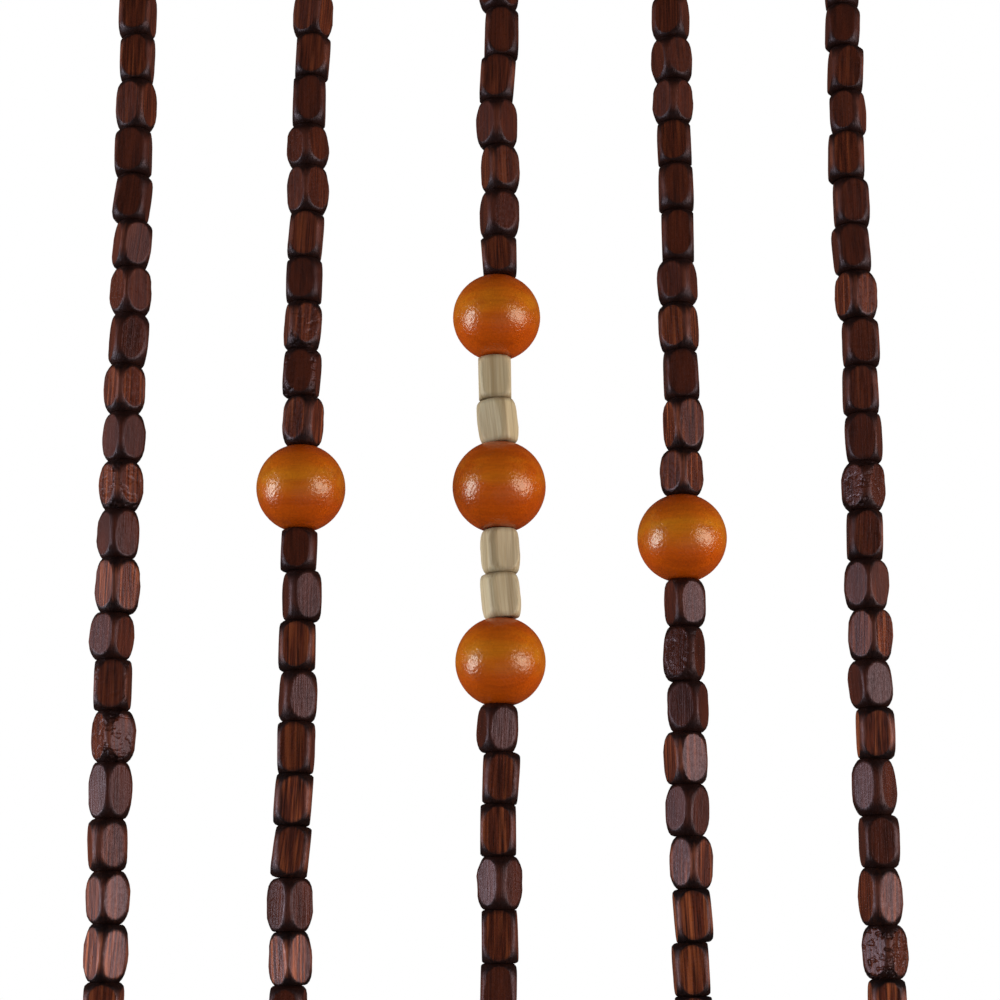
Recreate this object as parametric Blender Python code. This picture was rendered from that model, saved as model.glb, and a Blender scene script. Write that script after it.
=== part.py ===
"""A panel of a bead curtain: five strands of stained bamboo beads and turned balls under a heading strip.

The origin is the middle of the heading strip's top edge. +Z is up, and -Y is towards the viewer.
"""

import math
import random
from collections import namedtuple

import bmesh
import bpy
from mathutils import Vector

MM = 0.001

# Heading strip
HEADING_WIDTH = 186.0 * MM
HEADING_DEPTH = 10.0 * MM
HEADING_HEIGHT = 14.0 * MM
HEADING_EASE = 0.8 * MM

# Cord, square in section, and the square bore that runs along it through every bead
CORD_SIDE = 1.6 * MM
CORD_ROOT = 6.0 * MM
BORE_SIDE = 2.3 * MM
PIECE_GAP = 0.3 * MM

# Knot and tail under the last bead: depth below the bead, and the side of the cord there
KNOT_SECTIONS = (
    (0.4 * MM, CORD_SIDE),
    (0.9 * MM, 3.2 * MM),
    (2.4 * MM, 3.4 * MM),
    (3.1 * MM, CORD_SIDE),
    (9.0 * MM, CORD_SIDE),
)

# Bamboo bead: a barrel with four flats. Its levels run from -1 at the bottom neck to 1 at the top one
FLAT_TO_FLAT = 6.75 * MM
BARREL_ACROSS = 8.6 * MM
NECK_ACROSS = 5.3 * MM
BARREL_LEVELS = (0.86, 0.5, -0.5, -0.86)
BARREL_POWER = 2.6
BARREL_ROUNDING = 0.6
PALE_GIRTH = 0.97
GIRTH_SPREAD = 0.03
TURN_SPREAD = math.radians(4.0)

# Letters of the charts: the length that a bead takes up on the cord, the angle its flats are turned,
# how far its top leans to the right, and how far it sits to the right of the strand's line
BEAD_LENGTH = {"t": 8.4 * MM, "s": 9.3 * MM, "m": 10.0 * MM, "l": 10.8 * MM, "N": 9.0 * MM}
TURN = {"F": 0.0, "E": math.radians(45.0), "L": math.radians(23.0), "R": math.radians(67.0)}
LEAN = {
    ".": 0.0,
    "r": math.radians(2.5),
    "R": math.radians(6.0),
    "l": math.radians(-2.5),
    "L": math.radians(-6.0),
}
SHIFT = {".": 0.0, ">": 0.4 * MM, "<": -0.4 * MM}

# Turned ball: diameter, and height between the small flats around its bore
Ball = namedtuple("Ball", "across height")
BALLS = {
    "O": Ball(17.8 * MM, 17.1 * MM),
    "Q": Ball(18.7 * MM, 17.5 * MM),
}
BALL_SIDES = 20
BALL_BANDS = 8

# Sway of a hanging strand
SWAY = 0.35 * MM
SWAY_LENGTH = 120.0 * MM
SWAY_DEPTH_LAG = math.radians(70.0)

# One row for each strand, left to right: its place across the heading, its drift across for each metre
# of height, the height where it sways furthest right, the bare cord above its first bead, and its chart
# from top to bottom. The sizes name each piece and its length. The turns say how each bead faces:
# F flat to the front, E edge to the front, L and R with that edge left or right of the middle.
Strand = namedtuple("Strand", "across drift sway_peak bare sizes turns leans shifts")
STRANDS = (
    Strand(
        -74.7 * MM, -0.003, -131.0 * MM, 3.5 * MM,
        "mmlsm" "mlmmmmlmmmmlsmmlmml" "mmlm",
        "ELFFF" "FRFFLELEEEEERFEELEE" "FFRE",
        ".r.l." "...RR.r.........l.r" "..r.",
        "....." ">>.....<...><.>.<.." "....",
    ),
    Strand(
        -38.1 * MM, 0.001, -195.0 * MM, 3.2 * MM,
        "mmlsm" "slsmmsmmm" "O" "tmmmmmmmm" "lmsm",
        "FERFR" "FFEEFFLFR" "-" "FLFLFFFEE" "FLEF",
        "..l.r" "r.l.r.rrr" "-" ".....rR.l" "...r",
        "....." ".<<.....>" "-" "<><.....>" "....",
    ),
    Strand(
        1.0 * MM, -0.002, -189.0 * MM, 5.6 * MM,
        "lmlm" "lmmmmt" "ONNQNNO" "smmmm" "mlmm",
        "FLFE" "FFELLF" "-FR-LL-" "LFFEF" "FELF",
        "...." ".r.l.l" "-lL-lL-" "rr..." "...l",
        "...." "><<>>>" "-<.-..-" "<>.>>" "....",
    ),
    Strand(
        37.9 * MM, -0.001, -129.0 * MM, 3.4 * MM,
        "mlmmm" "sssmlsmmls" "O" "slmmmmm" "mmlsm",
        "LFFER" "LEFFFRRFLE" "-" "LRRLEEF" "FFFRE",
        "....." "l.l..lll.." "-" ".r..r.l" "l....",
        "....." ".....<<.>." "-" ">.><<.." "<....",
    ),
    Strand(
        73.7 * MM, -0.004, -135.0 * MM, 5.2 * MM,
        "lmlm" "smsmmmmmmmmmmmsmlmlm" "mslm",
        "FEFF" "FFRFFFLFFREFEELFEFLE" "FLFE",
        "...." "rr...l....rrrrl....." ".r..",
        "...." ".>><.<.>.>...>.><.<." "....",
    ),
)

CHART_SEED = 31


def clear_scene():
    for thing in list(bpy.data.objects):
        bpy.data.objects.remove(thing)


def make_material(name, colour, roughness):
    material = bpy.data.materials.new(name)
    material.use_nodes = True
    shader = material.node_tree.nodes["Principled BSDF"]
    shader.inputs["Base Color"].default_value = (*colour, 1.0)
    shader.inputs["Roughness"].default_value = roughness
    shader.inputs["Metallic"].default_value = 0.0
    return material


def add_object(name, bm, material):
    """Turns a finished bmesh into a named object with its faces out."""
    bmesh.ops.recalc_face_normals(bm, faces=bm.faces)
    mesh = bpy.data.meshes.new(name)
    bm.to_mesh(mesh)
    bm.free()
    if material:
        mesh.materials.append(material)
    thing = bpy.data.objects.new(name, mesh)
    bpy.context.scene.collection.objects.link(thing)
    return thing


def hide_tool(thing):
    thing.hide_render = True
    thing.display_type = "WIRE"


def boolean(thing, tool, operation):
    modifier = thing.modifiers.new(operation.lower() + "_" + tool.name, "BOOLEAN")
    modifier.operation = operation
    modifier.object = tool
    modifier.solver = "EXACT"


def strand_point(strand, height):
    """The middle of the cord at this height."""
    wave = 2.0 * math.pi * (height - strand.sway_peak) / SWAY_LENGTH
    across = strand.across + strand.drift * height + SWAY * math.cos(wave)
    depth = SWAY * math.sin(wave + SWAY_DEPTH_LAG)
    return Vector((across, depth, height))


def loft(bm, rings):
    """Joins each ring to the next with four-sided faces, and closes both ends."""
    for upper, lower in zip(rings, rings[1:]):
        for i in range(len(upper)):
            j = (i + 1) % len(upper)
            bm.faces.new((upper[i], upper[j], lower[j], lower[i]))
    bm.faces.new(rings[0])
    bm.faces.new(rings[-1])


# Threaded pieces: what hangs on one strand, from the top down
Threaded = namedtuple("Threaded", "letter top bottom turn girth lean shift")


def threaded_pieces(strand, draw):
    pieces = []
    top = -HEADING_HEIGHT - strand.bare
    for letter, facing, lean, shift in zip(strand.sizes, strand.turns, strand.leans, strand.shifts):
        if letter in BALLS:
            bottom = top - BALLS[letter].height
            pieces.append(Threaded(letter, top, bottom, 0.0, 1.0, 0.0, 0.0))
        else:
            bottom = top - BEAD_LENGTH[letter]
            turn = TURN[facing] + draw.uniform(-TURN_SPREAD, TURN_SPREAD)
            girth = 1.0 + draw.uniform(-GIRTH_SPREAD, GIRTH_SPREAD)
            if letter == "N":
                girth *= PALE_GIRTH
            pieces.append(Threaded(letter, top, bottom, turn, girth, LEAN[lean], SHIFT[shift]))
        top = bottom
    return pieces


def kind_of(piece):
    if piece.letter in BALLS:
        return "ball"
    return "pale" if piece.letter == "N" else "run"


def in_groups(pieces):
    """Dark beads that follow each other are one run. Balls and pale beads stay single."""
    groups = []
    for piece in pieces:
        kind = kind_of(piece)
        if kind == "run" and groups and groups[-1][0] == "run":
            groups[-1][1].append(piece)
        else:
            groups.append((kind, [piece]))
    return groups


# Cord and bore
def cord_mesh(strand, sections):
    """A square tube along the strand, from (height, side) sections."""
    bm = bmesh.new()
    rings = []
    for height, side in sections:
        middle = strand_point(strand, height)
        half = 0.5 * side
        corners = ((half, half), (-half, half), (-half, -half), (half, -half))
        rings.append([bm.verts.new(middle + Vector((x, y, 0.0))) for x, y in corners])
    loft(bm, rings)
    return bm


def joint_heights(pieces):
    return [pieces[0].top] + [piece.bottom for piece in pieces]


def add_cord(number, strand, pieces):
    heights = joint_heights(pieces)
    end = heights.pop()
    sections = [(CORD_ROOT - HEADING_HEIGHT, CORD_SIDE), (-HEADING_HEIGHT, CORD_SIDE)]
    sections += [(height, CORD_SIDE) for height in heights]
    sections += [(end - depth, side) for depth, side in KNOT_SECTIONS]
    cord = add_object(f"cord_{number}", cord_mesh(strand, sections), None)
    hide_tool(cord)
    return cord


def add_bore(number, strand, pieces):
    heights = joint_heights(pieces)
    heights[0] += PIECE_GAP
    heights[-1] -= PIECE_GAP
    sections = [(height, BORE_SIDE) for height in heights]
    bore = add_object(f"bore_{number}", cord_mesh(strand, sections), None)
    hide_tool(bore)
    return bore


# Bamboo beads
def barrel_radius(level):
    """The rounded outline of a bead, from its neck at level -1 to the other at 1."""
    swell = (1.0 - abs(level) ** BARREL_POWER) ** BARREL_ROUNDING
    return 0.5 * (NECK_ACROSS + (BARREL_ACROSS - NECK_ACROSS) * swell)


def block_ring(bm, middle, radius, flats, turn):
    """Eight corners on a circle, two at the ends of each of the four flats."""
    half = min(0.5 * flats, radius * math.cos(math.pi / 8.0))
    side = math.sqrt(radius * radius - half * half)
    ring = []
    for quarter in range(4):
        angle = turn + quarter * math.pi / 2.0
        outward = Vector((math.cos(angle), math.sin(angle), 0.0))
        along = Vector((-math.sin(angle), math.cos(angle), 0.0))
        ring.append(bm.verts.new(middle + half * outward - side * along))
        ring.append(bm.verts.new(middle + half * outward + side * along))
    return ring


def between_turns(first, second):
    """A neck is an eight-sided ring, so its turn repeats every eighth of a round."""
    eighth = math.pi / 4.0
    step = (second - first + 0.5 * eighth) % eighth - 0.5 * eighth
    return first + 0.5 * step


def facing_ring(neck, neck_turn, bead_turn):
    """The neck's corners listed from the one that faces the bead's first corner."""
    shift = round((bead_turn - neck_turn) / (math.pi / 4.0)) % 8
    return neck[shift:] + neck[:shift]


def run_mesh(strand, beads):
    """A run of beads as one body: each bead swells between its neck and the next one's."""
    bm = bmesh.new()
    turns = [beads[0].turn]
    turns += [between_turns(a.turn, b.turn) for a, b in zip(beads, beads[1:])]
    turns += [beads[-1].turn]
    heights = joint_heights(beads)
    heights[0] -= 0.5 * PIECE_GAP
    heights[-1] += 0.5 * PIECE_GAP
    necks = []
    for height, turn in zip(heights, turns):
        middle = strand_point(strand, height)
        necks.append(block_ring(bm, middle, 0.5 * NECK_ACROSS, NECK_ACROSS, turn))
    for number, bead in enumerate(beads):
        half = 0.5 * (bead.top - bead.bottom)
        centre = 0.5 * (bead.top + bead.bottom)
        rings = [facing_ring(necks[number], turns[number], bead.turn)]
        for level in BARREL_LEVELS:
            middle = strand_point(strand, centre + level * half)
            middle.x += bead.shift + level * half * math.tan(bead.lean)
            radius = bead.girth * barrel_radius(level)
            rings.append(block_ring(bm, middle, radius, bead.girth * FLAT_TO_FLAT, bead.turn))
        rings.append(facing_ring(necks[number + 1], turns[number + 1], bead.turn))
        for upper, lower in zip(rings, rings[1:]):
            for i in range(8):
                j = (i + 1) % 8
                bm.faces.new((upper[i], upper[j], lower[j], lower[i]))
    bm.faces.new(necks[0])
    bm.faces.new(necks[-1])
    return bm


# Turned balls
def ball_mesh(strand, piece):
    """A ball turned about its bore, with a small flat at the top and the bottom."""
    ball = BALLS[piece.letter]
    radius = 0.5 * ball.across
    half = 0.5 * (ball.height - PIECE_GAP)
    middle = strand_point(strand, 0.5 * (piece.top + piece.bottom))
    steepest = math.asin(half / radius)
    bm = bmesh.new()
    rings = []
    for band in range(BALL_BANDS + 1):
        angle = steepest * (1.0 - 2.0 * band / BALL_BANDS)
        level = middle + Vector((0.0, 0.0, radius * math.sin(angle)))
        ring = bmesh.ops.create_circle(bm, segments=BALL_SIDES, radius=radius * math.cos(angle))
        bmesh.ops.translate(bm, verts=ring["verts"], vec=level)
        rings.append(ring["verts"])
    loft(bm, rings)
    return bm


def shade_round(thing):
    thing.data.shade_smooth()
    thing.data.set_sharp_from_angle(angle=math.radians(35.0))


def add_strand(number, strand, draw, materials):
    """Adds the pieces threaded on one strand, and returns its cord."""
    pieces = threaded_pieces(strand, draw)
    cord = add_cord(number, strand, pieces)
    bore = add_bore(number, strand, pieces)
    counts = {"run": 0, "ball": 0, "pale": 0}
    for kind, group in in_groups(pieces):
        counts[kind] += 1
        name = f"strand{number}_{kind}{counts[kind]}"
        if kind == "ball":
            thing = add_object(name, ball_mesh(strand, group[0]), materials[kind])
            shade_round(thing)
        else:
            thing = add_object(name, run_mesh(strand, group), materials[kind])
        boolean(thing, bore, "DIFFERENCE")
    return cord


def add_heading(material, cords):
    """The strip that carries the strands, fused with the roots of their cords."""
    bm = bmesh.new()
    bmesh.ops.create_cube(bm, size=1.0)
    bmesh.ops.scale(bm, verts=bm.verts, vec=(HEADING_WIDTH, HEADING_DEPTH, HEADING_HEIGHT))
    bmesh.ops.translate(bm, verts=bm.verts, vec=(0.0, 0.0, -0.5 * HEADING_HEIGHT))
    bmesh.ops.bevel(
        bm, geom=bm.edges, offset=HEADING_EASE, offset_type="OFFSET", segments=1,
        profile=0.5, affect="EDGES", material=-1,
    )
    heading = add_object("strings", bm, material)
    for cord in cords:
        boolean(heading, cord, "UNION")


def build():
    clear_scene()
    materials = {
        "run": make_material("dark_bamboo", (0.045, 0.014, 0.010), 0.38),
        "pale": make_material("pale_bamboo", (0.38, 0.29, 0.18), 0.45),
        "ball": make_material("orange_ball", (0.42, 0.10, 0.012), 0.22),
        "strings": make_material("heading_and_cord", (0.035, 0.014, 0.010), 0.6),
    }
    draw = random.Random(CHART_SEED)
    cords = []
    for number, strand in enumerate(STRANDS, start=1):
        cords.append(add_strand(number, strand, draw, materials))
    add_heading(materials["strings"], cords)


build()
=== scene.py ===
# %% [markdown]
# # A bead curtain, bead by bead
#
# This lesson dresses a panel of a bead curtain: five strands of small stained bamboo blocks, a few
# of them left pale, with turned and lacquered wooden balls between them, under a plain heading strip.
# The panel's plain solids come ready made, and each of them is replaced here by a finer piece that
# lies in the same place. Everything is in metres, with +Z up and the viewer on the -Y side.

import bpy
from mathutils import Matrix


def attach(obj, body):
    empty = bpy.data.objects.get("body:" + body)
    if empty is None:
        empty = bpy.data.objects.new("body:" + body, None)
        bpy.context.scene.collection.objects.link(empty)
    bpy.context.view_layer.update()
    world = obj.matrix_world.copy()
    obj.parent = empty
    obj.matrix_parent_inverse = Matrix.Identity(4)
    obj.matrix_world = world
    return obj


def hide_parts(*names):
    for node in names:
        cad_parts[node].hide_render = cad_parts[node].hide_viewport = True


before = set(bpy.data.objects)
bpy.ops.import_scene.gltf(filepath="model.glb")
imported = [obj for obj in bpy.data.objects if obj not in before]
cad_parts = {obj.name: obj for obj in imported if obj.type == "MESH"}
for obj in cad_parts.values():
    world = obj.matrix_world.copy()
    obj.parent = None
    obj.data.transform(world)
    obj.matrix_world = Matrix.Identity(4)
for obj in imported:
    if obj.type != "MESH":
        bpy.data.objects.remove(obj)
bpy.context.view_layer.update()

# %% [markdown]
# ## The camera
#
# The strands hang at about arm's length, and the eye is a little below their middle and looks up. The
# further beads are therefore smaller and show more of their undersides. A camera could be aimed with a
# constraint, but a place and one tilt say the same in two lines, and nothing is left to follow.

# %% Set up the camera
import math
import random
from collections import namedtuple

import bmesh
import bpy
from mathutils import Matrix, Quaternion, Vector, noise

MM = 0.001
CAMERA_PLACE = Vector((1.6, -400.9, -256.6)) * MM
CAMERA_TILT = math.radians(12.6)
CAMERA_LENS = 73.94

camera_data = bpy.data.cameras.new("camera")
camera_data.lens = CAMERA_LENS
camera = bpy.data.objects.new("camera", camera_data)
camera.location = CAMERA_PLACE
camera.rotation_euler = (math.pi / 2.0 + CAMERA_TILT, 0.0, 0.0)
bpy.context.scene.collection.objects.link(camera)
bpy.context.scene.camera = camera
print("camera at", tuple(round(v, 4) for v in CAMERA_PLACE))

# %% [markdown]
# ## Light
#
# Two broad soft lamps stand level with the beads: a cool one beside the curtain on the left, like a
# window, and a warm one further round to the front on the right. Three more stand in for the light
# thrown back by a pale table and by the walls on both sides, which is too spread out to be seen
# mirrored in the lacquer. Nothing lights the beads from above, so their tops stay deep. The backdrop
# is plain white to the eye but gives off hardly any light: a world as bright as it looks would put a
# pale rim on every bead and wash the dark stain out. One shader does both, by asking what kind of ray
# meets it.

# %% Light the stage
scene = bpy.context.scene
scene.view_settings.view_transform = "Standard"
PANEL_MIDDLE = Vector((0.0, 0.0, -167.0)) * MM
FILL_STRENGTH = 0.03

Lamp = namedtuple("Lamp", "name side_angle lift_angle distance width height roll power color mirrored")
COOL = (0.88, 0.95, 1.0)
WARM = (1.0, 0.94, 0.86)
WHITE = (1.0, 1.0, 1.0)
LAMPS = (
    Lamp("left_lamp", -77.0, -5.0, 2.2, 1.4, 0.65, 38.0, 26.0, COOL, True),
    Lamp("right_lamp", 59.0, -3.0, 2.2, 1.8, 1.0, -10.0, 26.0, WARM, True),
    Lamp("low_fill", 10.0, -30.0, 1.2, 1.4, 0.7, 0.0, 1.8, WHITE, False),
    Lamp("left_fill", -100.0, 5.0, 2.2, 1.0, 1.0, 0.0, 40.0, WHITE, False),
    Lamp("right_fill", 100.0, 5.0, 2.2, 1.0, 1.0, 0.0, 33.0, WHITE, False),
)

for lamp in LAMPS:
    side, lift = math.radians(lamp.side_angle), math.radians(lamp.lift_angle)
    outward = Vector((math.sin(side) * math.cos(lift), -math.cos(side) * math.cos(lift), math.sin(lift)))
    lamp_data = bpy.data.lights.new(lamp.name, "AREA")
    lamp_data.shape = "RECTANGLE"
    lamp_data.size = lamp.width
    lamp_data.size_y = lamp.height
    lamp_data.energy = lamp.power
    lamp_data.color = lamp.color
    light = bpy.data.objects.new(lamp.name, lamp_data)
    light.location = PANEL_MIDDLE + lamp.distance * outward
    rolled = Quaternion((0.0, 0.0, 1.0), math.radians(lamp.roll))
    light.rotation_euler = ((-outward).to_track_quat("-Z", "Y") @ rolled).to_euler()
    light.visible_camera = False
    light.visible_glossy = lamp.mirrored
    scene.collection.objects.link(light)

world = bpy.data.worlds.new("white_backdrop")
scene.world = world
world.use_nodes = True
world_nodes = world.node_tree.nodes
seen = world_nodes["Background"]
seen.inputs["Color"].default_value = (1.0, 1.0, 1.0, 1.0)
fill = world_nodes.new("ShaderNodeBackground")
fill.inputs["Color"].default_value = (1.0, 1.0, 1.0, 1.0)
fill.inputs["Strength"].default_value = FILL_STRENGTH
ray = world_nodes.new("ShaderNodeLightPath")
choose = world_nodes.new("ShaderNodeMixShader")
world.node_tree.links.new(ray.outputs["Is Camera Ray"], choose.inputs["Fac"])
world.node_tree.links.new(fill.outputs["Background"], choose.inputs[1])
world.node_tree.links.new(seen.outputs["Background"], choose.inputs[2])
world.node_tree.links.new(choose.outputs["Shader"], world_nodes["World Output"].inputs["Surface"])
print(len(LAMPS), "lamps, and a fill of", FILL_STRENGTH, "of the backdrop's white")

# %% [markdown]
# ## Helpers for materials
#
# A material is a small web of nodes. A few helpers keep the web readable: one adds a node and sets or
# links its inputs by name in one line, the others are the sums and mixes that every material needs.

# %% Material helpers
def fill_inputs(tree, node, inputs):
    """Gives each input a value, or links it to another node's output. A name like _0 is a number."""
    for name, value in inputs.items():
        socket = node.inputs[int(name[1:])] if name[0] == "_" else node.inputs[name.replace("_", " ")]
        if isinstance(value, bpy.types.NodeSocket):
            tree.links.new(value, socket)
        else:
            socket.default_value = value
    return node


def add_node(tree, kind, settings=None, **inputs):
    node = tree.nodes.new("ShaderNode" + kind)
    for name, value in (settings or {}).items():
        setattr(node, name, value)
    return fill_inputs(tree, node, inputs)


def use_group(tree, group, **inputs):
    node = tree.nodes.new("ShaderNodeGroup")
    node.node_tree = group
    return fill_inputs(tree, node, inputs)


def mathed(tree, operation, first, second=0.0):
    return add_node(tree, "Math", {"operation": operation}, _0=first, _1=second).outputs[0]


def scaled(tree, value, factor):
    return mathed(tree, "MULTIPLY", value, factor)


def mixed(tree, factor, first, second):
    """A colour mix. The Mix node keeps its colour sockets at 6 and 7 and gives its colour at 2."""
    return add_node(tree, "Mix", {"data_type": "RGBA"}, _0=factor, _6=first, _7=second).outputs[2]


def layered(tree, under, mask, share, colour):
    """The colour under, with this share of another one over it where the mask is 1."""
    return mixed(tree, scaled(tree, mask, share), under, colour)


def ramped(tree, value, low, high):
    """The value stretched so that low becomes 0 and high becomes 1."""
    return add_node(tree, "MapRange", None, Value=value, From_Min=low, From_Max=high).outputs["Result"]


def lifted(tree, value, least):
    """The value squeezed so that 0 becomes least and 1 stays 1."""
    return mathed(tree, "ADD", scaled(tree, value, 1.0 - least), least)


def rgb(red, green, blue):
    """A colour as a screen names it, 0 to 255 a channel, turned into the light that it stands for."""
    steps = [value / 255.0 for value in (red, green, blue)]
    linear = [step / 12.92 if step <= 0.04045 else ((step + 0.055) / 1.055) ** 2.4 for step in steps]
    return (*linear, 1.0)


def start_material(name):
    material = bpy.data.materials.new(name)
    material.use_nodes = True
    tree = material.node_tree
    return material, tree, tree.nodes["Principled BSDF"]


def attribute(tree, name, output="Fac"):
    return add_node(tree, "Attribute", {"attribute_name": name}).outputs[output]


print("a mid brown as light:", [round(value, 3) for value in rgb(88, 44, 33)])

# %% [markdown]
# ## Floor
#
# A plain pale disc, well below the panel, gives the side views a ground. The lamps stand level with
# the beads and would light it in patches, so its paleness is its own even glow. Only the eye sees it:
# the beads neither mirror it nor are lit by it, because a floor this pale would grey the lower half of
# every ball.

# %% Lay the floor
FLOOR_HEIGHT = -0.9
FLOOR_RADIUS = 2.6

floor_material, floor_tree, floor_shader = start_material("pale_floor")
floor_speck = add_node(floor_tree, "TexNoise", None, Scale=60.0, Detail=3.0)
floor_tone = mixed(floor_tree, floor_speck.outputs["Fac"], rgb(224, 223, 220), rgb(232, 231, 229))
floor_tree.links.new(floor_tone, floor_shader.inputs["Emission Color"])
floor_shader.inputs["Emission Strength"].default_value = 1.0
floor_shader.inputs["Base Color"].default_value = rgb(30, 30, 30)
floor_shader.inputs["Roughness"].default_value = 0.9

floor_bm = bmesh.new()
bmesh.ops.create_circle(floor_bm, cap_ends=True, segments=96, radius=FLOOR_RADIUS)
bmesh.ops.translate(floor_bm, verts=floor_bm.verts, vec=(0.0, 0.0, FLOOR_HEIGHT))
floor_mesh = bpy.data.meshes.new("floor")
floor_bm.to_mesh(floor_mesh)
floor_bm.free()
floor_mesh.materials.append(floor_material)
floor = bpy.data.objects.new("floor", floor_mesh)
floor.visible_glossy = False
floor.visible_diffuse = False
scene.collection.objects.link(floor)
print("floor at", FLOOR_HEIGHT)

# %% [markdown]
# ## The fibre group
#
# Bamboo is a bundle of stiff fibres that all run along the stem, so a cut block shows straight lines
# from end to end, fine ones everywhere, a few broad streaks and wide soft bands. Noise squeezed across
# the grain and stretched along it draws all three. Every bead carries its own measure of place: across
# it in millimetres, and along it from -1 at the bottom to 1 at the top. The group reads that, so the
# lines lean when the bead does, and a seed from the bead shifts the noise so that no two beads show the
# same stretch. The same measure tells how near a point is to the bead's ends, which the materials paint
# darker: a painted shade where beads meet, and on the stained beads pooled stain as well. Two rounder
# noises give the leathery surface of the finish and the pits of wear. The group only gives values, and
# each material decides what to do with them.

# %% Make the fibre group
BEAD_HALF = 5.0
ENDS_FROM = 0.74
ENDS_POWER = 1.3


def start_group(name, inputs, outputs):
    group = bpy.data.node_groups.new(name, "ShaderNodeTree")
    for label, kind, value in inputs:
        socket = group.interface.new_socket(label, in_out="INPUT", socket_type=kind)
        if value is not None:
            socket.default_value = value
    for label in outputs:
        group.interface.new_socket(label, in_out="OUTPUT", socket_type="NodeSocketFloat")
    return group, group.nodes.new("NodeGroupInput"), group.nodes.new("NodeGroupOutput")


fibre_group, fibre_in, fibre_out = start_group(
    "fibres",
    (
        ("Place", "NodeSocketVector", None),
        ("Seed", "NodeSocketFloat", 0.0),
        ("Lines per mm", "NodeSocketFloat", 3.0),
        ("Streaks per mm", "NodeSocketFloat", 0.9),
        ("Stretch", "NodeSocketFloat", 0.03),
    ),
    ("Lines", "Streaks", "Bands", "Ends", "Leather", "Pits"),
)


def noise_along(per_mm, stretch, detail, shift):
    """Noise with this many features a millimetre across the grain, and stretch a bead's half along it."""
    squeeze = add_node(fibre_group, "CombineXYZ", None, X=per_mm, Y=per_mm, Z=stretch)
    place = add_node(
        fibre_group, "VectorMath", {"operation": "MULTIPLY"},
        _0=fibre_in.outputs["Place"], _1=squeeze.outputs["Vector"],
    )
    offset = scaled(fibre_group, fibre_in.outputs["Seed"], shift)
    moved = add_node(fibre_group, "VectorMath", {"operation": "ADD"}, _0=place.outputs["Vector"], _1=offset)
    return add_node(
        fibre_group, "TexNoise", None,
        Vector=moved.outputs["Vector"], Scale=1.0, Detail=detail, Roughness=0.6,
    ).outputs["Fac"]


def fibre_noise(label, detail, shift):
    """Noise as dense as the group's input of this name says, and drawn out as Stretch says."""
    per_mm = fibre_in.outputs[label]
    along = scaled(fibre_group, fibre_in.outputs["Stretch"], BEAD_HALF)
    return noise_along(per_mm, scaled(fibre_group, along, per_mm), detail, shift)


fine_lines = fibre_noise("Lines per mm", detail=2.0, shift=91.0)
streaks = fibre_noise("Streaks per mm", detail=1.5, shift=57.0)
bands = noise_along(per_mm=0.4, stretch=0.1 * BEAD_HALF, detail=1.0, shift=19.0)
leather = noise_along(per_mm=1.9, stretch=1.3 * BEAD_HALF, detail=2.0, shift=33.0)
pits = noise_along(per_mm=0.5, stretch=0.6 * BEAD_HALF, detail=1.5, shift=71.0)
height_part = add_node(fibre_group, "SeparateXYZ", None, Vector=fibre_in.outputs["Place"]).outputs["Z"]
end_part = ramped(fibre_group, mathed(fibre_group, "ABSOLUTE", height_part), ENDS_FROM, 1.0)
for source, label in (
    (ramped(fibre_group, fine_lines, 0.36, 0.66), "Lines"),
    (ramped(fibre_group, streaks, 0.5, 0.67), "Streaks"),
    (ramped(fibre_group, bands, 0.35, 0.65), "Bands"),
    (mathed(fibre_group, "POWER", end_part, ENDS_POWER), "Ends"),
    (leather, "Leather"),
    (ramped(fibre_group, pits, 0.5, 0.72), "Pits"),
):
    fibre_group.links.new(source, fibre_out.inputs[label])
print("group:", fibre_group.name, "gives", [socket.name for socket in fibre_out.inputs if socket.name])

# %% [markdown]
# ## Dark stained bamboo
#
# The beads are stained a brown that is nearly black. The fibres show as finer, redder lines, and where
# the stain took less a streak stays orange: the bead's tone says how much of that shows. The rounded
# parts between the flats near the ends, and the ends themselves, are painted almost black: partly stain
# that has pooled and dried there, partly painted shade where they face up and down and meet the next
# bead. The ridges halfway up are painted paler and pinker: partly rubbed wear, partly a painted
# highlight where a ridge catches the lamps. The finish is satin, and each flat has its own polish: one
# that turns towards a lamp goes greyish pink and looks like fine leather. A separate coat could carry
# that gloss, but one tinted specular layer gives the same look and exports more simply. A bead may also
# carry some wear: then pits open in it, most of all along the ridges that stand out, and their hollows
# are painted dark as painted shade.

# %% Make the dark bamboo
LEATHER_DEPTH = 0.02
LINE_DEPTH = 0.02
CHIP_DEPTH = 0.7
CHIP_DARKNESS = 0.8
CHIPS_IN_FLATS = 0.4
FAINTEST_END_DARKENING = 0.8
RUBBED_AND_LIT_SHARE = 0.45
UNPOLISHED = 0.44
POLISH_EFFECT = 0.22
LEATHER_EFFECT = 0.5

dark_bamboo, tree, shader = start_material("dark_bamboo")
place = attribute(tree, "bead_place", "Vector")
tone = attribute(tree, "tone")
rounded = mathed(tree, "SUBTRACT", 1.0, attribute(tree, "flat"))
fibres = use_group(
    tree, fibre_group, Place=place, Seed=tone, Lines_per_mm=3.4, Streaks_per_mm=1.5, Stretch=0.035,
)
clouded = mixed(tree, fibres.outputs["Bands"], rgb(58, 27, 19), rgb(80, 36, 23))
base = mixed(tree, tone, clouded, rgb(48, 21, 15))
lined = scaled(tree, fibres.outputs["Lines"], ramped(tree, tone, -0.2, 1.0))
lines = mixed(tree, lined, base, rgb(124, 58, 36))
streaky = scaled(tree, fibres.outputs["Streaks"], ramped(tree, tone, -0.05, 0.9))
paler = mixed(tree, tone, rgb(92, 42, 26), rgb(194, 104, 60))
streaked = mixed(tree, streaky, lines, paler)
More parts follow.
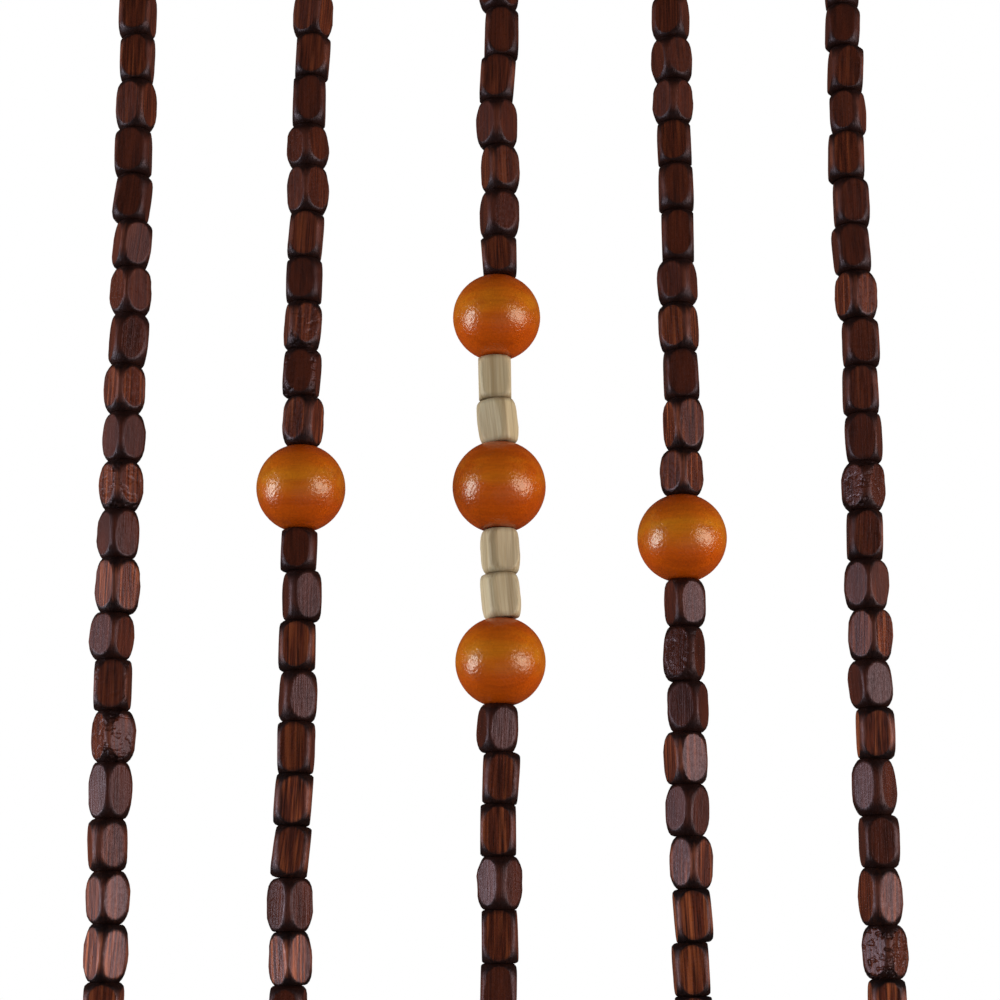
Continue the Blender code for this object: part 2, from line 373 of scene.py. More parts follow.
# Painted shade: the rounded parts between the flats near the ends, and the ends themselves, are painted
# almost black, partly stain pooled there and partly painted shade where they face up and down and meet the
# next bead.
height = mathed(tree, "ABSOLUTE", add_node(tree, "SeparateXYZ", None, Vector=place).outputs["Z"])
pooled_and_shaded = scaled(tree, rounded, ramped(tree, height, 0.3, 0.75))
end_darkening = lifted(tree, tone, FAINTEST_END_DARKENING)
ends_with_painted_shade = scaled(tree, mathed(tree, "MAXIMUM", pooled_and_shaded, fibres.outputs["Ends"]), end_darkening)
# Painted highlight: the ridges halfway up are painted paler and pinker, partly rubbed wear and partly a
# painted highlight where a ridge catches the lamps.
rubbed_and_lit = scaled(tree, mathed(tree, "SUBTRACT", rounded, pooled_and_shaded), scaled(tree, tone, RUBBED_AND_LIT_SHARE))
ridged = mixed(tree, rubbed_and_lit, streaked, rgb(132, 84, 72))
finished = mixed(tree, ends_with_painted_shade, ridged, rgb(16, 8, 6))
exposed = lifted(tree, rounded, CHIPS_IN_FLATS)
chipped = scaled(tree, scaled(tree, fibres.outputs["Pits"], exposed), attribute(tree, "wear"))
# Painted shade: the pits of wear are painted dark, the shade that falls in their hollows.
worn_and_pit_shaded = layered(tree, finished, chipped, CHIP_DARKNESS, rgb(26, 14, 12))
tree.links.new(worn_and_pit_shaded, shader.inputs["Base Color"])
dulled = mathed(tree, "SUBTRACT", UNPOLISHED, scaled(tree, attribute(tree, "gloss"), POLISH_EFFECT))
uneven = scaled(tree, mathed(tree, "SUBTRACT", fibres.outputs["Leather"], 0.5), LEATHER_EFFECT)
tree.links.new(mathed(tree, "ADD", dulled, uneven), shader.inputs["Roughness"])
relief = scaled(tree, fibres.outputs["Leather"], LEATHER_DEPTH)
relief = mathed(tree, "ADD", relief, scaled(tree, fibres.outputs["Lines"], LINE_DEPTH))
relief = mathed(tree, "SUBTRACT", relief, scaled(tree, chipped, CHIP_DEPTH))
bump = add_node(tree, "Bump", None, Height=relief, Strength=1.0, Distance=MM)
tree.links.new(bump.outputs["Normal"], shader.inputs["Normal"])
shader.inputs["Specular IOR Level"].default_value = 0.42
shader.inputs["Specular Tint"].default_value = (1.0, 0.78, 0.92, 1.0)
print("material:", dark_bamboo.name)

# %% [markdown]
# ## Pale bamboo
#
# A few beads are left bare. It is the same cut and the same fibres, seen without the stain: straw
# coloured, with thin brown lines and a dull surface.

# %% Make the pale bamboo
pale_bamboo, tree, shader = start_material("pale_bamboo")
place = attribute(tree, "bead_place", "Vector")
tone = attribute(tree, "tone")
fibres = use_group(
    tree, fibre_group, Place=place, Seed=tone, Lines_per_mm=3.0, Streaks_per_mm=0.8, Stretch=0.02,
)
base = mixed(tree, tone, rgb(224, 205, 168), rgb(240, 227, 196))
lines = layered(tree, base, fibres.outputs["Lines"], 0.6, rgb(200, 172, 126))
streaked = layered(tree, lines, fibres.outputs["Streaks"], 0.5, rgb(156, 126, 86))
# Painted shade: the ends are painted darker where the bead meets its neighbours.
ends_with_painted_shade = layered(tree, streaked, fibres.outputs["Ends"], 0.6, rgb(112, 88, 60))
tree.links.new(ends_with_painted_shade, shader.inputs["Base Color"])
shader.inputs["Roughness"].default_value = 0.5
bump = add_node(tree, "Bump", None, Height=fibres.outputs["Lines"], Strength=0.4, Distance=0.05 * MM)
tree.links.new(bump.outputs["Normal"], shader.inputs["Normal"])
print("material:", pale_bamboo.name)

# %% [markdown]
# ## Orange lacquered wood
#
# The balls are turned from a close-grained wood, stained orange and dipped in lacquer. The grain runs
# across the bore, so its lines lie level: the same fibre group does it, with the ball's measure of
# place turned on its side. A patchy yellow band just above the ball's middle is partly the wood's own
# golden patches and partly a painted glow where the level lamps light the ball most. Round the bore the
# ball is painted darker, a painted shade where it meets the beads, and a dark speck shows here and there.
# The lacquer is slightly yellow and soft, and its fine orange-peel relief breaks up each lamp's image.

# %% Make the orange wood
BALL_HALF = 8.6
GLOW_BAND_HEIGHT = 0.15
GLOW_BAND_REACH = 0.65
SPECK_REACH = 0.075
SPECK_CORE = 0.03
PEEL_DEPTH = 0.11 * MM

orange_wood, tree, shader = start_material("orange_wood")
place = attribute(tree, "bead_place", "Vector")
tone = attribute(tree, "tone")
parts = add_node(tree, "SeparateXYZ", None, Vector=place)
side_on = add_node(
    tree, "CombineXYZ", None,
    X=scaled(tree, parts.outputs["Z"], BALL_HALF),
    Y=parts.outputs["Y"],
    Z=scaled(tree, parts.outputs["X"], 0.1),
)
fibres = use_group(
    tree, fibre_group,
    Place=side_on.outputs["Vector"], Seed=tone, Lines_per_mm=2.2, Streaks_per_mm=0.35, Stretch=0.05,
)
# Painted glow: a patchy yellow band just above the middle, partly the wood's own golden patches and partly
# a painted glow where the level lamps light the ball most.
raised = mathed(tree, "SUBTRACT", parts.outputs["Z"], GLOW_BAND_HEIGHT)
middle = mathed(tree, "SUBTRACT", 1.0, ramped(tree, mathed(tree, "ABSOLUTE", raised), 0.0, GLOW_BAND_REACH))
patchy = mathed(tree, "ADD", ramped(tree, fibres.outputs["Bands"], -0.3, 1.7), scaled(tree, tone, 0.6))
glow_and_golden_patches = scaled(tree, middle, patchy)
base = mixed(tree, glow_and_golden_patches, rgb(226, 95, 4), rgb(236, 140, 22))
lines = layered(tree, base, fibres.outputs["Lines"], 0.22, rgb(160, 60, 6))
streaked = layered(tree, lines, fibres.outputs["Streaks"], 0.30, rgb(170, 62, 6))
# Painted shade: round the bore the ball is painted darker, where it meets the beads.
bore_shade = ramped(tree, mathed(tree, "ABSOLUTE", parts.outputs["Z"]), 0.95, 1.0)
ends_with_painted_shade = layered(tree, streaked, bore_shade, 0.6, rgb(92, 30, 6))
specks = add_node(tree, "TexVoronoi", None, Vector=side_on.outputs["Vector"], Scale=0.22)
speck_here = ramped(tree, specks.outputs["Distance"], SPECK_REACH, SPECK_CORE)
spotted = layered(tree, ends_with_painted_shade, speck_here, 0.7, rgb(70, 30, 10))
tree.links.new(spotted, shader.inputs["Base Color"])
shader.inputs["Roughness"].default_value = 0.26
shader.inputs["Specular IOR Level"].default_value = 0.85
shader.inputs["Specular Tint"].default_value = (1.0, 0.97, 0.82, 1.0)
upright = add_node(
    tree, "CombineXYZ", None,
    X=parts.outputs["X"], Y=parts.outputs["Y"], Z=scaled(tree, parts.outputs["Z"], BALL_HALF),
)
peel = add_node(tree, "TexNoise", None, Vector=upright.outputs["Vector"], Scale=1.7, Detail=1.5)
bump = add_node(tree, "Bump", None, Height=peel.outputs["Fac"], Strength=1.0, Distance=PEEL_DEPTH)
tree.links.new(bump.outputs["Normal"], shader.inputs["Normal"])
print("material:", orange_wood.name)

# %% [markdown]
# ## The strands' charts
#
# A strand reads like a row of knitting: one letter for each piece, from the heading down. The sizes
# tell dark beads (tiny, short, medium, long) from pale ones (N) and balls (O, and the larger Q). The
# turns say how a bead faces: F flat to the front, E edge to the front, L or R with that edge left or
# right of the middle. The leans and shifts say how untidily it hangs. The same charts shaped the
# plain solids, so every fine bead lies where its solid does. Three more tables pick out beads by strand
# and by place on it, counted from 0: those that are chipped and rough, those with bold streaks, and
# those with hardly any. On a ball, bold is golden and plain is redder.

# %% Chart the strands
HEADING_SIZE = Vector((186.0, 10.0, 14.0))
GIRTH_SPREAD = 0.03
TURN_SPREAD = math.radians(4.0)
PALE_GIRTH = 0.97
BEAD_LENGTH = {"t": 8.4, "s": 9.3, "m": 10.0, "l": 10.8, "N": 9.0}
TURN = {"F": 0.0, "E": math.radians(45.0), "L": math.radians(23.0), "R": math.radians(67.0)}
LEAN = {"l": -2.5, "L": -6.0, "r": 2.5, "R": 6.0, ".": 0.0}
SHIFT = {".": 0.0, ">": 0.4, "<": -0.4}
Ball = namedtuple("Ball", "across height")
BALLS = {"O": Ball(17.8, 17.1), "Q": Ball(18.7, 17.5)}
CHART_SEED = 31

Strand = namedtuple("Strand", "across drift sway_peak bare sizes turns leans shifts")
STRANDS = (
    Strand(
        -74.7, -0.003, -131.0, 3.5,
        "mmlsm" "mlmmmmlmmmmlsmmlmml" "mmlm",
        "ELFFF" "FRFFLELEEEEERFEELEE" "FFRE",
        ".r.l." "...RR.r.........l.r" "..r.",
        "....." ">>.....<...><.>.<.." "....",
    ),
    Strand(
        -38.1, 0.001, -195.0, 3.2,
        "mmlsm" "slsmmsmmm" "O" "tmmmmmmmm" "lmsm",
        "FERFR" "FFEEFFLFR" "-" "FLFLFFFEE" "FLEF",
        "..l.r" "r.l.r.rrr" "-" ".....rR.l" "...r",
        "....." ".<<.....>" "-" "<><.....>" "....",
    ),
    Strand(
        1.0, -0.002, -189.0, 5.6,
        "lmlm" "lmmmmt" "ONNQNNO" "smmmm" "mlmm",
        "FLFE" "FFELLF" "-FR-LL-" "LFFEF" "FELF",
        "...." ".r.l.l" "-lL-lL-" "rr..." "...l",
        "...." "><<>>>" "-<.-..-" "<>.>>" "....",
    ),
    Strand(
        37.9, -0.001, -129.0, 3.4,
        "mlmmm" "sssmlsmmls" "O" "slmmmmm" "mmlsm",
        "LFFER" "LEFFFRRFLE" "-" "LRRLEEF" "FFFRE",
        "....." "l.l..lll.." "-" ".r..r.l" "l....",
        "....." ".....<<.>." "-" ">.><<.." "<....",
    ),
    Strand(
        73.7, -0.004, -135.0, 5.2,
        "lmlm" "smsmmmmmmmmmmmsmlmlm" "mslm",
        "FEFF" "FFRFFFLFFREFEELFEFLE" "FLFE",
        "...." "rr...l....rrrrl....." ".r..",
        "...." ".>><.<.>.>...>.><.<." "....",
    ),
)

Threaded = namedtuple("Threaded", "letter top bottom turn girth lean shift finish wear")
WEAR = {
    (1, 14): 0.4, (1, 18): 0.3, (1, 19): 0.6,
    (2, 11): 0.25, (2, 12): 0.4,
    (4, 17): 0.2,
    (5, 14): 0.5, (5, 23): 1.0,
}
BOLD = {
    1: (16, 22, 23, 24),
    2: (14, 17, 19, 20, 21),
    3: (10, 16, 18, 19, 21),
    4: (13, 15, 22, 23),
    5: (17, 19, 24),
}
PLAIN = {
    1: (15,),
    2: (12, 15, 16, 22),
    3: (13, 17, 20),
    4: (12, 17, 18, 20),
    5: (18, 20, 21),
}


def finish_of(number, place):
    if place in BOLD[number]:
        return "bold"
    return "plain" if place in PLAIN[number] else "mixed"


def jitter(draw, most):
    return draw.uniform(-most, most)


def threaded_pieces(number, strand, draw):
    """What hangs on one strand, from the top down, in millimetres."""
    pieces = []
    top = -HEADING_SIZE.z - strand.bare
    for letter, facing, lean, shift in zip(strand.sizes, strand.turns, strand.leans, strand.shifts):
        finish = finish_of(number, len(pieces))
        if letter in BALLS:
            bottom = top - BALLS[letter].height
            pieces.append(Threaded(letter, top, bottom, 0.0, 1.0, 0.0, 0.0, finish, 0.0))
        else:
            bottom = top - BEAD_LENGTH[letter]
            turn = TURN[facing] + jitter(draw, TURN_SPREAD)
            girth = 1.0 + jitter(draw, GIRTH_SPREAD)
            if letter == "N":
                girth *= PALE_GIRTH
            leaning = math.radians(LEAN[lean])
            wear = WEAR.get((number, len(pieces)), 0.0)
            pieces.append(Threaded(letter, top, bottom, turn, girth, leaning, SHIFT[shift], finish, wear))
        top = bottom
    return pieces


chart_draw = random.Random(CHART_SEED)
THREADED = [threaded_pieces(number, strand, chart_draw) for number, strand in enumerate(STRANDS, start=1)]
print("pieces on each strand:", [len(pieces) for pieces in THREADED])

# %% [markdown]
# A hanging string is never quite straight. Each strand sways by a third of a millimetre along a slow
# wave, and everything on it is placed by this one function.

# %% Follow a strand
SWAY = 0.35
SWAY_LENGTH = 120.0
SWAY_DEPTH_LAG = math.radians(70.0)


def strand_point(strand, height):
    """The middle of the cord at this height, in millimetres."""
    wave = 2.0 * math.pi * (height - strand.sway_peak) / SWAY_LENGTH
    across = strand.across + strand.drift * height + SWAY * math.cos(wave)
    return Vector((across, SWAY * math.sin(wave + SWAY_DEPTH_LAG), height))


print("strand 1 hangs from", tuple(round(v, 2) for v in strand_point(STRANDS[0], 0.0)))

# %% [markdown]
# ## Cutting one bead
#
# On the real thing a bamboo strip is sawn into short square blocks, drilled, and tumbled until its
# corners and ends are round. The tumbling is a barrel and the strip's faces are four flats, so the
# quickest honest way to model a bead is the same: spin a barrel with a bore, then slice four flats
# off it with `bisect_plane`. Where a flat meets the barrel it leaves the arched outline that these
# beads have, and a little noise in the barrel first makes every arch a different one. A bevel would
# choke on the short edges that a slice leaves, so the flat gets a narrow inset ring instead. The ring
# lies in the flat, and smooth shading bends over it alone, so the flat stays truly flat and its edge
# looks rubbed. Points closer than 0.4 mm round a cut are merged first, or the ring would cross itself
# there. Each flat also draws its own polish. Dark beads press into each other by a hair, so that no
# light shows between them.

# %% Cut a bead
BORE_RADIUS = 1.15
NECK_RADIUS = 2.65
PALE_NECK_RADIUS = 3.2
BARREL_RADIUS = 4.3
BARREL_POWERS = {"edge on": 2.6, "flat on": 3.8}
FLAT_ON_TURN = math.radians(10.0)
BARREL_ROUNDING = 0.6
FLAT_DISTANCE = 3.375
BEAD_STEPS = 24
OUTLINE_STEPS = 12
CUT_TOLERANCE = 1e-5
SHORTEST_EDGE = 0.4
RIM_WIDTHS = (0.25, 0.55)
POLISH = (0.1, 0.9)
DENT_SIZE = 2.6
DENT_DEPTH = 0.22
DENT_PLACES = 90.0
NECK_SPREAD = 0.15
ROUNDING_SPREAD = 0.10
FLAT_ANGLE_SPREAD = 3.5
FLAT_DISTANCE_SPREAD = 0.1
FLAT_TILT_SPREAD = 2.0
END_GAPS = {"run": -0.04, "pale": 0.06}


def barrel_radius(level, neck, power, rounding):
    swell = max(0.0, 1.0 - abs(level) ** power) ** rounding
    return neck + (BARREL_RADIUS - neck) * swell


def spin_outline(points, steps):
    """Spins a closed outline of (radius, height) points round the Z axis."""
    bm = bmesh.new()
    outline = [bm.verts.new((radius, 0.0, height)) for radius, height in points]
    edges = [bm.edges.new((a, b)) for a, b in zip(outline, outline[1:] + outline[:1])]
    bmesh.ops.spin(
        bm, geom=outline + edges, cent=(0.0, 0.0, 0.0), axis=(0.0, 0.0, 1.0),
        angle=2.0 * math.pi, steps=steps, use_merge=True,
    )
    return bm


def slice_flat(bm, angle, distance, tilt):
    """Cuts one flat, fills it, and returns its face."""
    outward = Vector((math.cos(angle) * math.cos(tilt), math.sin(angle) * math.cos(tilt), math.sin(tilt)))
    geometry = bm.verts[:] + bm.edges[:] + bm.faces[:]
    cut = bmesh.ops.bisect_plane(
        bm, geom=geometry, dist=CUT_TOLERANCE,
        plane_co=outward * distance, plane_no=outward, clear_outer=True,
    )
    cut_points = [part for part in cut["geom_cut"] if isinstance(part, bmesh.types.BMVert)]
    bmesh.ops.remove_doubles(bm, verts=cut_points, dist=SHORTEST_EDGE)
    edge_loop = [edge for edge in bm.edges if edge.is_boundary]
    return bmesh.ops.edgeloop_fill(bm, edges=edge_loop)["faces"][0]


def cut_bead(length, girth, neck_radius, power, draw):
    """One bead about the origin, standing up, in millimetres."""
    half = 0.5 * length
    neck = neck_radius + jitter(draw, NECK_SPREAD)
    rounding = BARREL_ROUNDING + jitter(draw, ROUNDING_SPREAD)
    levels = [math.sin(math.pi * (0.5 - step / OUTLINE_STEPS)) for step in range(OUTLINE_STEPS + 1)]
    outline = [(girth * barrel_radius(level, neck, power, rounding), level * half) for level in levels]
    bm = spin_outline([(BORE_RADIUS, half)] + outline + [(BORE_RADIUS, -half)], BEAD_STEPS)
    whereabouts = Vector((draw.uniform(0.0, DENT_PLACES), 0.0, 0.0))
    for vert in bm.verts:
        outward = Vector((vert.co.x, vert.co.y, 0.0))
        if outward.length > 0.5 * (BORE_RADIUS + NECK_RADIUS):
            dent = noise.noise(vert.co / DENT_SIZE + whereabouts)
            vert.co += DENT_DEPTH * dent * outward.normalized()
    flatness = bm.verts.layers.float.new("flat")
    gloss = bm.verts.layers.float.new("gloss")
    flats = []
    for quarter in range(4):
        angle = quarter * math.pi / 2.0 + math.radians(jitter(draw, FLAT_ANGLE_SPREAD))
        distance = girth * FLAT_DISTANCE + jitter(draw, FLAT_DISTANCE_SPREAD)
        flats.append(slice_flat(bm, angle, distance, math.radians(jitter(draw, FLAT_TILT_SPREAD))))
    for flat in flats:
        rim = draw.uniform(*RIM_WIDTHS)
        bmesh.ops.inset_individual(bm, faces=[flat], thickness=rim, use_even_offset=True)
        polish = draw.uniform(*POLISH)
        for vert in flat.verts:
            vert[flatness] = 1.0
            vert[gloss] = polish
    bmesh.ops.recalc_face_normals(bm, faces=bm.faces)
    return bm


trial = cut_bead(10.0, 1.0, NECK_RADIUS, BARREL_POWERS["edge on"], random.Random(1))
print("one bead:", len(trial.faces), "faces,", sum(len(f.verts) - 2 for f in trial.faces), "triangles")
trial.free()

# %% [markdown]
# ## Threading the beads
#
# A bead is cut about the origin, where the cut is easy. Before it moves, each of its points writes
# down where it sits in the bead, and the bead's tone and wear, which is what the materials read. Then
# the bead is turned and leaned as charted and moved to its place on the strand.

# %% Thread the beads into pieces
from_millimetres = Matrix.Scale(MM, 4)


def thread(bm, piece, strand, tone):
    """Writes each point's place in its bead, then moves the bead to the strand, in metres."""
    place_layer = bm.verts.layers.float_vector.new("bead_place")
    tone_layer = bm.verts.layers.float.new("tone")
    wear_layer = bm.verts.layers.float.new("wear")
    half = 0.5 * (piece.top - piece.bottom)
    for vert in bm.verts:
        vert[place_layer] = (vert.co.x, vert.co.y, vert.co.z / half)
        vert[tone_layer] = tone
        vert[wear_layer] = piece.wear
    middle = strand_point(strand, 0.5 * (piece.top + piece.bottom))
    middle.x += piece.shift
    facing = Matrix.Rotation(piece.lean, 4, "Y") @ Matrix.Rotation(piece.turn, 4, "Z")
    place = Matrix.Translation(middle) @ facing
    bmesh.ops.transform(bm, matrix=from_millimetres @ place, verts=bm.verts)
    return bm


def add_piece(name, parts, material, nodes):
    """Joins finished bmeshes into one object that stands for these plain solids."""
    joined = bmesh.new()
    for bm in parts:
        mesh = bpy.data.meshes.new("part")
        bm.to_mesh(mesh)
        bm.free()
        joined.from_mesh(mesh)
        bpy.data.meshes.remove(mesh)
    mesh = bpy.data.meshes.new(name)
    joined.to_mesh(mesh)
    joined.free()
    mesh.materials.append(material)
    mesh.shade_smooth()
    piece = bpy.data.objects.new(name, mesh)
    scene.collection.objects.link(piece)
    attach(piece, "root")
    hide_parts(*nodes)
    return piece


def kind_of(piece):
    if piece.letter in BALLS:
        return "ball"
    return "pale" if piece.letter == "N" else "run"


def in_groups(pieces):
    """Dark beads that follow each other are one run. Balls and pale beads stay single."""
    groups = []
    for piece in pieces:
        kind = kind_of(piece)
        if kind == "run" and groups and groups[-1][0] == "run":
            groups[-1][1].append(piece)
        else:
            groups.append((kind, [piece]))
    return groups


print("groups on each strand:", [len(in_groups(pieces)) for pieces in THREADED])

# %% [markdown]
# ## Turning a ball
#
# A ball is a lathe shape, so its half outline is spun: an arc that stops at the bore, with the small
# flat and the eased mouth that a drill and a dip in lacquer leave.

# %% Turn a ball
BALL_STEPS = 48
ARC_STEPS = 26
MOUTH_RADIUS = 1.9
MOUTH_DEPTH = 0.5
BALL_GAP = 0.1


def turn_ball(letter):
    """One ball about the origin, in millimetres."""
    ball = BALLS[letter]
    radius = 0.5 * ball.across
    half = 0.5 * ball.height - BALL_GAP
    steepest = math.asin(half / radius)
    angles = [steepest * (1.0 - 2.0 * step / ARC_STEPS) for step in range(ARC_STEPS + 1)]
    outline = [(BORE_RADIUS, half - MOUTH_DEPTH), (MOUTH_RADIUS, half)]
    outline += [(radius * math.cos(angle), radius * math.sin(angle)) for angle in angles]
    outline += [(MOUTH_RADIUS, -half), (BORE_RADIUS, MOUTH_DEPTH - half)]
    bm = spin_outline(outline, BALL_STEPS)
    bmesh.ops.recalc_face_normals(bm, faces=bm.faces)
    return bm


trial = turn_ball("O")
print("one ball:", len(trial.faces), "faces")
trial.free()

# %% [markdown]
# With the bead and the ball at hand, one loop walks down every strand and makes each piece in turn. A
# bead's tone is drawn from a range that widens downwards, so the lower beads show stronger streaks and
# paler ridges. A bold piece's tone then moves halfway to 1, and a plain one's drops to a fifth. The
# squarer beads are the ones that hang with a flat to the front, so those are cut from a fuller barrel.
# Each unbroken run of dark beads is joined into one object, like the solid that it stands for.

# %% Make all the beads and balls
BEAD_SEED = 7
bead_draw = random.Random(BEAD_SEED)
MATERIALS = {"run": dark_bamboo, "pale": pale_bamboo, "ball": orange_wood}
PANEL_BOTTOM = min(pieces[-1].bottom for pieces in THREADED)
TOP_TONE = 0.25
PLAIN_TONE = 0.2


def make_part(piece, strand, draw):
    if kind_of(piece) == "ball":
        bm = turn_ball(piece.letter)
    else:
        neck_radius = PALE_NECK_RADIUS if kind_of(piece) == "pale" else NECK_RADIUS
        power = BARREL_POWERS["flat on" if abs(piece.turn) < FLAT_ON_TURN else "edge on"]
        length = piece.top - piece.bottom - 2.0 * END_GAPS[kind_of(piece)]
        bm = cut_bead(length, piece.girth, neck_radius, power, draw)
    most = TOP_TONE + (1.0 - TOP_TONE) * piece.bottom / PANEL_BOTTOM
    tone = draw.uniform(0.0, most)
    if piece.finish == "bold":
        tone = 0.5 * (1.0 + tone)
    elif piece.finish == "plain":
        tone = PLAIN_TONE * tone
    return thread(bm, piece, strand, tone)


face_count = 0
for strand_number, (strand, pieces) in enumerate(zip(STRANDS, THREADED), start=1):
    counts = {"run": 0, "ball": 0, "pale": 0}
    for kind, group in in_groups(pieces):
        counts[kind] += 1
        node = f"strand{strand_number}_{kind}{counts[kind]}"
        parts = [make_part(piece, strand, bead_draw) for piece in group]
        fine = add_piece("fine_" + node, parts, MATERIALS[kind], [node])
        face_count += len(fine.data.polygons)
print("faces in all the beads and balls:", face_count)

# %% [markdown]
# ## Cord
#
# The beads hide the cord except above the first bead and below the last, where an overhand knot stops
# them and a short tail hangs. The cord is three plies twisted together: a ring with three lobes,
# extruded step by step along a route, turned to follow it, and twisted a little each time. A knot has
# a simple formula too: a long trefoil is three short polynomials.

# %% Twist and knot the cords
CORD_RADIUS = 0.74
CORD_SIDES = 12
PLIES = 3
CORD_STEP = 0.8
PLY_TURN = math.radians(36.0)
PLY_DEPTH = 0.2
CORD_START = -9.0
KNOT_DEPTH = 2.9
KNOT_STEPS = 40
KNOT_REACH = 2.1
KNOT_ENDS = 6.0
KNOT_SCALE = Vector((0.78, 0.62, -0.11))
TAIL_END = 9.0

dark_cord, tree, shader = start_material("dark_cord")
ply = attribute(tree, "tone")
place = attribute(tree, "bead_place", "Vector")
fluff = add_node(tree, "TexNoise", None, Vector=place, Scale=5.0, Detail=3.0)
# Painted shade: the cord is painted near black in the grooves between the plies and paler on their crowns.
groove_shaded_plies = mixed(tree, ply, rgb(24, 15, 12), rgb(78, 52, 38))
fluffed = layered(tree, groove_shaded_plies, fluff.outputs["Fac"], 0.4, rgb(100, 70, 50))
tree.links.new(fluffed, shader.inputs["Base Color"])
shader.inputs["Roughness"].default_value = 0.85
bump = add_node(tree, "Bump", None, Height=fluff.outputs["Fac"], Strength=0.5, Distance=0.1 * MM)
tree.links.new(bump.outputs["Normal"], shader.inputs["Normal"])


def knot_point(share):
    """An overhand knot from above, share 0, to below, share 1, about the origin."""
    t = KNOT_REACH * (2.0 * share - 1.0)
    settle = min(1.0, KNOT_ENDS * min(share, 1.0 - share))
    x = (t ** 3 - 3.0 * t) * settle
    y = (t ** 4 - 4.0 * t ** 2 + 2.0) * settle
    return Vector((x * KNOT_SCALE.x, y * KNOT_SCALE.y, (t ** 5 - 10.0 * t) * KNOT_SCALE.z))


def cord_route(strand, last_bottom):
    """The points that a cord runs through, in millimetres: down its strand, the knot, and the tail."""
    knot_middle = last_bottom - KNOT_DEPTH
    knot_half = abs(knot_point(0.0).z)
    straight_end = knot_middle + knot_half
    steps = round((CORD_START - straight_end) / CORD_STEP)
    heights = [CORD_START + (straight_end - CORD_START) * step / steps for step in range(steps)]
    route = [strand_point(strand, height) for height in heights]
    centre = strand_point(strand, knot_middle)
    route += [centre + knot_point(step / KNOT_STEPS) for step in range(KNOT_STEPS + 1)]
    tail_top = knot_middle - knot_half
    tail_bottom = last_bottom - TAIL_END
    tail_steps = max(2, round((tail_top - tail_bottom) / CORD_STEP))
    for step in range(1, tail_steps + 1):
        route.append(strand_point(strand, tail_top + (tail_bottom - tail_top) * step / tail_steps))
    return route


def twist_cord(route):
    """Sweeps the three-lobed ring along the route, in millimetres, and returns it in metres."""
    bm = bmesh.new()
    ply_layer = bm.verts.layers.float.new("tone")
    place_layer = bm.verts.layers.float_vector.new("bead_place")
    ring = bmesh.ops.create_circle(bm, cap_ends=True, segments=CORD_SIDES, radius=CORD_RADIUS)["verts"]
    for number, vert in enumerate(ring):
        lobe = 0.5 + 0.5 * math.cos(PLIES * 2.0 * math.pi * number / CORD_SIDES)
        vert.co *= 1.0 - PLY_DEPTH * (1.0 - lobe)
        vert[ply_layer] = lobe
    heading = (route[1] - route[0]).normalized()
    aimed = Vector((0.0, 0.0, -1.0)).rotation_difference(heading).to_matrix()
    bmesh.ops.rotate(bm, verts=ring, matrix=aimed)
    bmesh.ops.translate(bm, verts=ring, vec=route[0])
    face = bm.faces[:][0]
    for before, after in zip(route, route[1:]):
        face = bmesh.ops.extrude_discrete_faces(bm, faces=[face])["faces"][0]
        ring = list(face.verts)
        step = after - before
        bend = heading.rotation_difference(step.normalized()).to_matrix()
        heading = step.normalized()
        spin = Matrix.Rotation(PLY_TURN * step.length / CORD_STEP, 3, heading)
        bmesh.ops.translate(bm, verts=ring, vec=step)
        bmesh.ops.rotate(bm, verts=ring, cent=after, matrix=spin @ bend)
    for vert in bm.verts:
        vert[place_layer] = vert.co
    bmesh.ops.recalc_face_normals(bm, faces=bm.faces)
    bmesh.ops.transform(bm, matrix=from_millimetres, verts=bm.verts)
    return bm


for strand_number, (strand, pieces) in enumerate(zip(STRANDS, THREADED), start=1):
    route = cord_route(strand, pieces[-1].bottom)
    cord = twist_cord(route)
    fine = add_piece(f"cord_{strand_number}", [cord], dark_cord, ["strings"])
    route_length = sum((after - before).length for before, after in zip(route, route[1:]))
    print("cord", strand_number, "is", round(route_length), "mm long, with its knot")
print("faces in one cord:", len(fine.data.polygons))

# %% [markdown]
# ## Heading strip
#
# The strands hang from a narrow wooden strip with eased edges, drilled from below for the cords. The
# holes are cut with a Boolean, because a drill is exactly that. The strip's grain runs along it, so its
# own coordinates are turned on their side for the fibre group, and scaled to what the group reads:
# millimetres across the grain, and a bead's half length at a time along it.

# %% Make the heading strip
HEADING_EASE = 0.9
HOLE_RADIUS = 1.3
HOLE_DEPTH = 6.5
GRAIN_SCALE = (1.0 / (BEAD_HALF * MM), 1.0 / MM, 1.0 / MM)

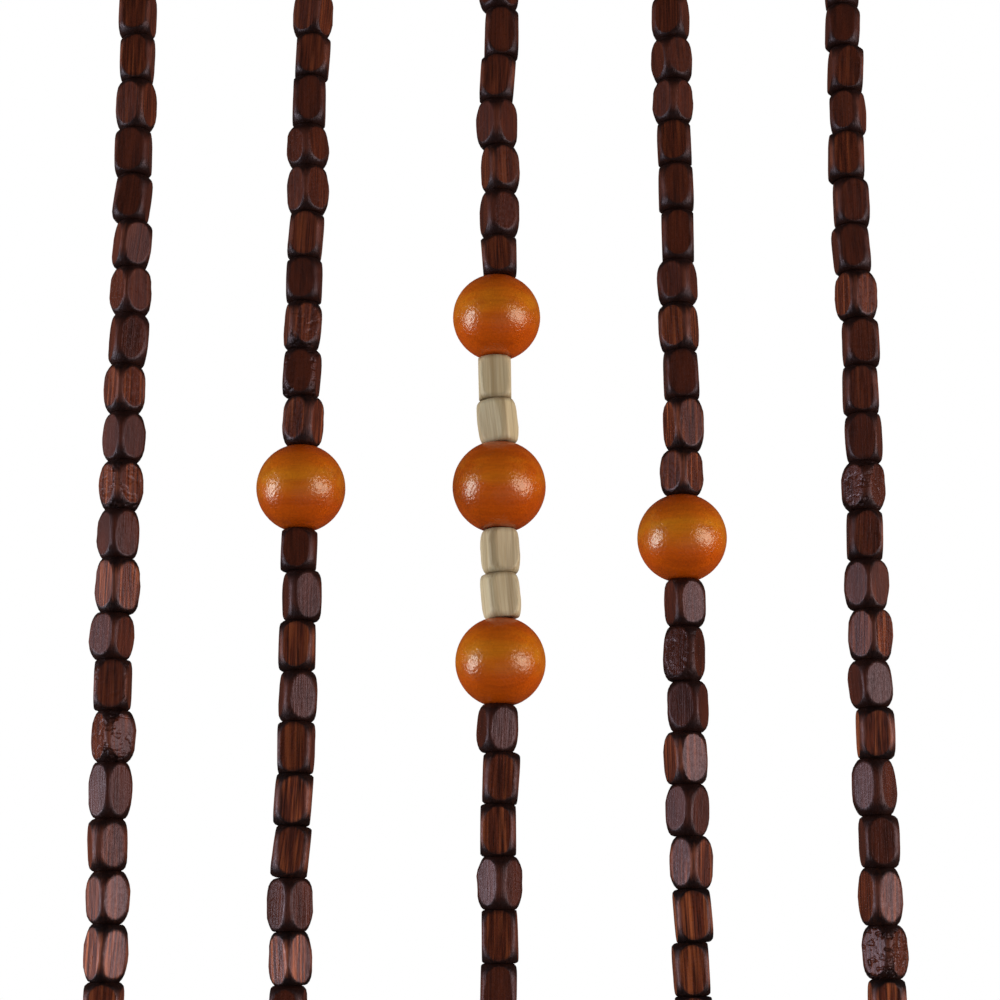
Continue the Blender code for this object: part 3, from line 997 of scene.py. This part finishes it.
heading_wood, tree, shader = start_material("heading_wood")
coordinates = add_node(tree, "TexCoord").outputs["Object"]
turned = add_node(
    tree, "Mapping", None, Vector=coordinates, Rotation=(0.0, math.pi / 2.0, 0.0), Scale=GRAIN_SCALE,
)
fibres = use_group(
    tree, fibre_group,
    Place=turned.outputs["Vector"], Seed=0.4, Lines_per_mm=1.8, Streaks_per_mm=0.4, Stretch=0.02,
)
base = mixed(tree, scaled(tree, fibres.outputs["Lines"], 0.5), rgb(62, 29, 21), rgb(100, 50, 30))
streaked = layered(tree, base, fibres.outputs["Streaks"], 0.5, rgb(38, 18, 14))
tree.links.new(streaked, shader.inputs["Base Color"])
shader.inputs["Roughness"].default_value = 0.5
shader.inputs["Specular IOR Level"].default_value = 0.3
bump = add_node(tree, "Bump", None, Height=fibres.outputs["Lines"], Strength=0.4, Distance=0.1 * MM)
tree.links.new(bump.outputs["Normal"], shader.inputs["Normal"])

strip = bmesh.new()
bmesh.ops.create_cube(strip, size=1.0)
bmesh.ops.scale(strip, verts=strip.verts, vec=HEADING_SIZE)
bmesh.ops.translate(strip, verts=strip.verts, vec=(0.0, 0.0, -0.5 * HEADING_SIZE.z))
bmesh.ops.bevel(
    strip, geom=strip.edges[:], offset=HEADING_EASE, offset_type="OFFSET", segments=3, profile=0.5,
    affect="EDGES", material=-1,
)
bmesh.ops.transform(strip, matrix=from_millimetres, verts=strip.verts)
heading = add_piece("heading_strip", [strip], heading_wood, ["strings"])

drill = bmesh.new()
for strand in STRANDS:
    hole = bmesh.ops.create_cone(
        drill, cap_ends=True, segments=24, radius1=HOLE_RADIUS, radius2=HOLE_RADIUS, depth=2.0 * HOLE_DEPTH,
    )
    bmesh.ops.translate(drill, verts=hole["verts"], vec=strand_point(strand, -HEADING_SIZE.z))
bmesh.ops.transform(drill, matrix=from_millimetres, verts=drill.verts)
drill_mesh = bpy.data.meshes.new("drill")
drill.to_mesh(drill_mesh)
drill.free()
drill_object = bpy.data.objects.new("drill", drill_mesh)
scene.collection.objects.link(drill_object)
holes = heading.modifiers.new("holes", "BOOLEAN")
holes.object = drill_object
holes.solver = "EXACT"
bpy.context.view_layer.update()
drilled = bpy.data.meshes.new_from_object(heading.evaluated_get(bpy.context.evaluated_depsgraph_get()))
heading.modifiers.remove(holes)
heading.data = drilled
bpy.data.objects.remove(drill_object)
drilled.set_sharp_from_angle(angle=math.radians(40.0))
print("heading strip:", len(heading.data.polygons), "faces")
